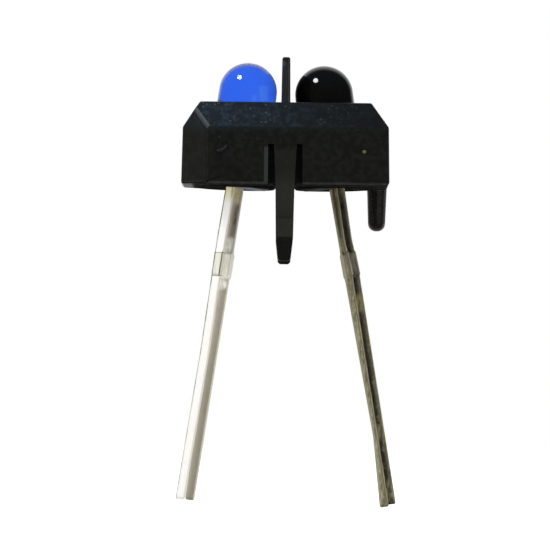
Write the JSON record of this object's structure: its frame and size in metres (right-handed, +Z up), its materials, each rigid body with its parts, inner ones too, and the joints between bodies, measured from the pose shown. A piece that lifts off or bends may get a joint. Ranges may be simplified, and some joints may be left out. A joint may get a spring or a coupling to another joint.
{
  "type": "reflective optical sensor",
  "caption": "Black moulded housing with a blue domed emitter and a black domed detector side by side, a light barrier between them, snap clips and a peg below, and long splayed leads.",
  "frame": {"origin": "middle of the housing's underside, on the web between the two pockets, where the housing seats on its board", "axes": "+Z up from the board through the lenses, +X along the housing from the blue emitter to the black detector, -Y the front"},
  "size_m": [0.0108, 0.0064, 0.022],
  "materials": {
    "housing": "black moulded plastic, satin, with fine dust",
    "emitter_lens": "blue translucent cast epoxy, glossy",
    "detector_lens": "black infrared-passing cast epoxy, glossy",
    "leads": "tin-plated steel, stamped, dull with brown tarnish",
    "chips": "polished semiconductor die with a metallised pad",
    "bond_wires": "fine gold wire"
  },
  "bodies": {
    "root": {"housing": "housing", "emitter_lens": "emitter_lens", "emitter_cathode_lead": "leads", "emitter_anode_lead": "leads", "emitter_chip": "chips", "emitter_bond_wire": "bond_wires", "detector_lens": "detector_lens", "detector_collector_lead": "leads", "detector_emitter_lead": "leads", "detector_chip": "chips", "detector_bond_wire": "bond_wires"}
  },
  "joints": []
}
